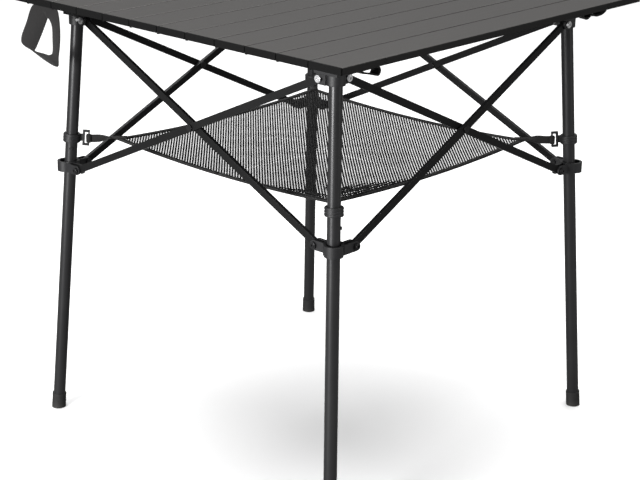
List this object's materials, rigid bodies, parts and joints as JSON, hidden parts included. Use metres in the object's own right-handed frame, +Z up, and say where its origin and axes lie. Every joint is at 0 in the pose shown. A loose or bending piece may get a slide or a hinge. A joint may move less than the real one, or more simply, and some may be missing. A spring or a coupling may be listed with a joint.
{
  "type": "folding camp table",
  "caption": "Square roll-up slatted table on a folding scissor frame with splayed legs, sliding sleeves and a mesh shelf.",
  "frame": {"origin": "on the floor, at the middle of the footprint", "axes": "+Z up, X along the slats, Y across them; the leg nearest the viewer of the picture is at -X -Y"},
  "size_m": [0.7, 0.7, 0.7],
  "materials": {
    "anodised_slat": "dark warm grey anodised, satin, with black end caps",
    "grey_steel": "dark grey powder coat, satin",
    "black_plastic": "moulded, fine grain",
    "plated_bolt": "bright zinc plate",
    "dark_bolt": "black oxide, satin",
    "foot_rubber": "matt",
    "mesh_fabric": "knitted open mesh with a bound edge",
    "webbing": "woven tape"
  },
  "bodies": {
    "bracket_near": {"top_bracket_near": "black_plastic", "bracket_bolts_near": "plated_bolt"},
    "leg_near": {"leg_tube_near": "grey_steel", "foot_cap_near": "foot_rubber", "net_collar_near": "black_plastic"},
    "slider_near": {"slider_near": "black_plastic", "slider_bolts_near": "dark_bolt"},
    "net_near": {"net_near": "mesh_fabric"},
    "bracket_left": {"top_bracket_left": "black_plastic", "bracket_bolts_left": "plated_bolt"},
    "leg_left": {"leg_tube_left": "grey_steel", "foot_cap_left": "foot_rubber", "net_collar_left": "black_plastic"},
    "slider_left": {"slider_left": "black_plastic", "slider_bolts_left": "dark_bolt"},
    "net_left": {"net_left": "mesh_fabric"},
    "bracket_far": {"top_bracket_far": "black_plastic", "bracket_bolts_far": "plated_bolt"},
    "leg_far": {"leg_tube_far": "grey_steel", "foot_cap_far": "foot_rubber", "net_collar_far": "black_plastic"},
    "slider_far": {"slider_far": "black_plastic", "slider_bolts_far": "dark_bolt"},
    "net_far": {"net_far": "mesh_fabric"},
    "bracket_right": {"top_bracket_right": "black_plastic", "bracket_bolts_right": "plated_bolt"},
    "leg_right": {"leg_tube_right": "grey_steel", "foot_cap_right": "foot_rubber", "net_collar_right": "black_plastic"},
    "slider_right": {"slider_right": "black_plastic", "slider_bolts_right": "dark_bolt"},
    "net_right": {"net_right": "mesh_fabric"},
    "outer_near_left": {"arm_outer_near_left": "grey_steel", "cross_rivet_near_left": "dark_bolt"},
    "inner_near_left": {"arm_inner_near_left": "grey_steel"},
    "outer_left_far": {"arm_outer_left_far": "grey_steel", "cross_rivet_left_far": "dark_bolt"},
    "inner_left_far": {"arm_inner_left_far": "grey_steel"},
    "outer_far_right": {"arm_outer_far_right": "grey_steel", "cross_rivet_far_right": "dark_bolt"},
    "inner_far_right": {"arm_inner_far_right": "grey_steel"},
    "outer_right_near": {"arm_outer_right_near": "grey_steel", "cross_rivet_right_near": "dark_bolt"},
    "inner_right_near": {"arm_inner_right_near": "grey_steel"},
    "top_slat_01": {"slat_01": "anodised_slat", "front_tab_left": "webbing", "front_tab_right": "webbing"},
    "top_slat_02": {"slat_02": "anodised_slat"},
    "top_slat_03": {"slat_03": "anodised_slat"},
    "top_slat_04": {"slat_04": "anodised_slat"},
    "top_slat_05": {"slat_05": "anodised_slat"},
    "top_slat_06": {"slat_06": "anodised_slat"},
    "top_slat_07": {"slat_07": "anodised_slat"},
    "top_slat_08": {"slat_08": "anodised_slat"},
    "top_slat_09": {"slat_09": "anodised_slat"},
    "top_slat_10": {"slat_10": "anodised_slat"},
    "top_slat_11": {"slat_11": "anodised_slat", "closure_strap": "webbing"},
    "top_slat_12": {"slat_12": "anodised_slat"}
  },
  "joints": [
    {"name": "frame_fold", "type": "hinge", "parent": "bracket_near", "child": "outer_near_left", "pos_m": [-0.278, -0.252, 0.658], "axis": [-1, 0, 0], "range_deg": [0, 60]},
    {"name": "slider_left_level", "type": "hinge", "parent": "outer_near_left", "child": "slider_left", "pos_m": [-0.29115, 0.252, 0.421], "axis": [-1, 0, 0], "range_deg": [-60.3, 0.3]},
    {"name": "inner_near_left_cross", "type": "hinge", "parent": "outer_near_left", "child": "inner_near_left", "pos_m": [-0.27657, 0, 0.5395], "axis": [-1, 0, 0], "range_deg": [-120.3, 0.3]},
    {"name": "bracket_left_level", "type": "hinge", "parent": "inner_near_left", "child": "bracket_left", "pos_m": [-0.27, 0.252, 0.658], "axis": [-1, 0, 0], "range_deg": [-0.3, 60.3]},
    {"name": "slider_near_level", "type": "hinge", "parent": "inner_near_left", "child": "slider_near", "pos_m": [-0.28315, -0.252, 0.421], "axis": [-1, 0, 0], "range_deg": [-0.3, 60.3]},
    {"name": "outer_left_far_fold", "type": "hinge", "parent": "bracket_left", "child": "outer_left_far", "pos_m": [-0.252, 0.278, 0.658], "axis": [0, 1, 0], "range_deg": [-0.3, 60.3]},
    {"name": "slider_far_level", "type": "hinge", "parent": "outer_left_far", "child": "slider_far", "pos_m": [0.252, 0.29115, 0.421], "axis": [0, 1, 0], "range_deg": [-60.3, 0.3]},
    {"name": "inner_left_far_cross", "type": "hinge", "parent": "outer_left_far", "child": "inner_left_far", "pos_m": [0, 0.27657, 0.5395], "axis": [0, 1, 0], "range_deg": [-120.3, 0.3]},
    {"name": "bracket_far_level", "type": "hinge", "parent": "inner_left_far", "child": "bracket_far", "pos_m": [0.252, 0.27, 0.658], "axis": [0, 1, 0], "range_deg": [-0.3, 60.3]},
    {"name": "outer_far_right_fold", "type": "hinge", "parent": "bracket_far", "child": "outer_far_right", "pos_m": [0.278, 0.252, 0.658], "axis": [1, 0, 0], "range_deg": [-0.3, 60.3]},
    {"name": "slider_right_level", "type": "hinge", "parent": "outer_far_right", "child": "slider_right", "pos_m": [0.29115, -0.252, 0.421], "axis": [1, 0, 0], "range_deg": [-60.3, 0.3]},
    {"name": "inner_far_right_cross", "type": "hinge", "parent": "outer_far_right", "child": "inner_far_right", "pos_m": [0.27657, 0, 0.5395], "axis": [1, 0, 0], "range_deg": [-120.3, 0.3]},
    {"name": "bracket_right_level", "type": "hinge", "parent": "inner_far_right", "child": "bracket_right", "pos_m": [0.27, -0.252, 0.658], "axis": [1, 0, 0], "range_deg": [-0.3, 60.3]},
    {"name": "outer_right_near_fold", "type": "hinge", "parent": "bracket_right", "child": "outer_right_near", "pos_m": [0.252, -0.278, 0.658], "axis": [0, -1, 0], "range_deg": [-0.3, 60.3]},
    {"name": "inner_right_near_fold", "type": "hinge", "parent": "bracket_near", "child": "inner_right_near", "pos_m": [-0.252, -0.27, 0.658], "axis": [0, 1, 0], "range_deg": [-0.3, 60.3]},
    {"name": "leg_near_lean", "type": "hinge", "parent": "bracket_near", "child": "leg_near", "pos_m": [-0.27, -0.27, 0.658], "axis": [0.7071, -0.7071, 0], "range_deg": [-0.05, 2.62]},
    {"name": "leg_left_lean", "type": "hinge", "parent": "bracket_left", "child": "leg_left", "pos_m": [-0.27, 0.27, 0.658], "axis": [-0.7071, -0.7071, 0], "range_deg": [-0.05, 2.62]},
    {"name": "leg_far_lean", "type": "hinge", "parent": "bracket_far", "child": "leg_far", "pos_m": [0.27, 0.27, 0.658], "axis": [-0.7071, 0.7071, 0], "range_deg": [-0.05, 2.62]},
    {"name": "leg_right_lean", "type": "hinge", "parent": "bracket_right", "child": "leg_right", "pos_m": [0.27, -0.27, 0.658], "axis": [0.7071, 0.7071, 0], "range_deg": [-0.05, 2.62]},
    {"name": "net_near_drop", "type": "hinge", "parent": "leg_near", "child": "net_near", "pos_m": [-0.26062, -0.26062, 0.465], "axis": [-0.7071, 0.7071, 0], "range_deg": [-0.3, 88.3], "deforming": ["net_near"]},
    {"name": "net_left_drop", "type": "hinge", "parent": "leg_left", "child": "net_left", "pos_m": [-0.26062, 0.26062, 0.465], "axis": [0.7071, 0.7071, 0], "range_deg": [-0.3, 88.3], "deforming": ["net_left"]},
    {"name": "net_far_drop", "type": "hinge", "parent": "leg_far", "child": "net_far", "pos_m": [0.26062, 0.26062, 0.465], "axis": [0.7071, -0.7071, 0], "range_deg": [-0.3, 88.3], "deforming": ["net_far"]},
    {"name": "net_right_drop", "type": "hinge", "parent": "leg_right", "child": "net_right", "pos_m": [0.26062, -0.26062, 0.465], "axis": [-0.7071, -0.7071, 0], "range_deg": [-0.3, 88.3], "deforming": ["net_right"]},
    {"name": "top_carry", "type": "slide", "parent": "bracket_near", "child": "top_slat_12", "axis": [-0.6952, -0.6952, 0.1825], "range_m": [-0.001, 0.32984]},
    {"name": "slat_11_curl", "type": "hinge", "parent": "top_slat_12", "child": "top_slat_11", "pos_m": [0, 0.29227, 0.7], "axis": [-1, 0, 0], "range_deg": [-0.5, 4.5]},
    {"name": "slat_10_curl", "type": "hinge", "parent": "top_slat_11", "child": "top_slat_10", "pos_m": [0, 0.23382, 0.7], "axis": [-1, 0, 0], "range_deg": [-0.5, 87.1]},
    {"name": "slat_09_curl", "type": "hinge", "parent": "top_slat_10", "child": "top_slat_09", "pos_m": [0, 0.17536, 0.7], "axis": [-1, 0, 0], "range_deg": [-0.5, 37.5]},
    {"name": "slat_08_curl", "type": "hinge", "parent": "top_slat_09", "child": "top_slat_08", "pos_m": [0, 0.11691, 0.7], "axis": [-1, 0, 0], "range_deg": [-0.5, 59]},
    {"name": "slat_07_curl", "type": "hinge", "parent": "top_slat_08", "child": "top_slat_07", "pos_m": [0, 0.05845, 0.7], "axis": [-1, 0, 0], "range_deg": [-0.5, 74.2]},
    {"name": "slat_06_curl", "type": "hinge", "parent": "top_slat_07", "child": "top_slat_06", "pos_m": [0, 0, 0.7], "axis": [-1, 0, 0], "range_deg": [-0.5, 64.9]},
    {"name": "slat_05_curl", "type": "hinge", "parent": "top_slat_06", "child": "top_slat_05", "pos_m": [0, -0.05845, 0.7], "axis": [-1, 0, 0], "range_deg": [-0.5, 72.2]},
    {"name": "slat_04_curl", "type": "hinge", "parent": "top_slat_05", "child": "top_slat_04", "pos_m": [0, -0.11691, 0.7], "axis": [-1, 0, 0], "range_deg": [-0.5, 91.1]},
    {"name": "slat_03_curl", "type": "hinge", "parent": "top_slat_04", "child": "top_slat_03", "pos_m": [0, -0.17536, 0.7], "axis": [-1, 0, 0], "range_deg": [-0.5, 87]},
    {"name": "slat_02_curl", "type": "hinge", "parent": "top_slat_03", "child": "top_slat_02", "pos_m": [0, -0.23382, 0.7], "axis": [-1, 0, 0], "range_deg": [-0.5, 112.6]},
    {"name": "roll_up", "type": "hinge", "parent": "top_slat_02", "child": "top_slat_01", "pos_m": [0, -0.29227, 0.7], "axis": [-1, 0, 0], "range_deg": [0, 135]}
  ],
  "couplings": [
    {"joint": "slider_left_level", "follows": "frame_fold", "ratio": -1},
    {"joint": "inner_near_left_cross", "follows": "frame_fold", "ratio": -2},
    {"joint": "bracket_left_level", "follows": "frame_fold", "ratio": 1},
    {"joint": "slider_near_level", "follows": "frame_fold", "ratio": 1},
    {"joint": "outer_left_far_fold", "follows": "frame_fold", "ratio": 1},
    {"joint": "slider_far_level", "follows": "frame_fold", "ratio": -1},
    {"joint": "inner_left_far_cross", "follows": "frame_fold", "ratio": -2},
    {"joint": "bracket_far_level", "follows": "frame_fold", "ratio": 1},
    {"joint": "outer_far_right_fold", "follows": "frame_fold", "ratio": 1},
    {"joint": "slider_right_level", "follows": "frame_fold", "ratio": -1},
    {"joint": "inner_far_right_cross", "follows": "frame_fold", "ratio": -2},
    {"joint": "bracket_right_level", "follows": "frame_fold", "ratio": 1},
    {"joint": "outer_right_near_fold", "follows": "frame_fold", "ratio": 1},
    {"joint": "inner_right_near_fold", "follows": "frame_fold", "ratio": 1},
    {"joint": "leg_near_lean", "follows": "frame_fold", "ratio": 0.04278},
    {"joint": "leg_left_lean", "follows": "frame_fold", "ratio": 0.04278},
    {"joint": "leg_far_lean", "follows": "frame_fold", "ratio": 0.04278},
    {"joint": "leg_right_lean", "follows": "frame_fold", "ratio": 0.04278},
    {"joint": "net_near_drop", "follows": "frame_fold", "ratio": 1.4667},
    {"joint": "net_left_drop", "follows": "frame_fold", "ratio": 1.4667},
    {"joint": "net_far_drop", "follows": "frame_fold", "ratio": 1.4667},
    {"joint": "net_right_drop", "follows": "frame_fold", "ratio": 1.4667},
    {"joint": "top_carry", "follows": "frame_fold", "m_per_rad": 0.31402},
    {"joint": "slat_11_curl", "follows": "roll_up", "ratio": 0.02963},
    {"joint": "slat_10_curl", "follows": "roll_up", "ratio": 0.64148},
    {"joint": "slat_09_curl", "follows": "roll_up", "ratio": 0.27407},
    {"joint": "slat_08_curl", "follows": "roll_up", "ratio": 0.43333},
    {"joint": "slat_07_curl", "follows": "roll_up", "ratio": 0.54593},
    {"joint": "slat_06_curl", "follows": "roll_up", "ratio": 0.47704},
    {"joint": "slat_05_curl", "follows": "roll_up", "ratio": 0.53111},
    {"joint": "slat_04_curl", "follows": "roll_up", "ratio": 0.67111},
    {"joint": "slat_03_curl", "follows": "roll_up", "ratio": 0.64074},
    {"joint": "slat_02_curl", "follows": "roll_up", "ratio": 0.83037}
  ]
}
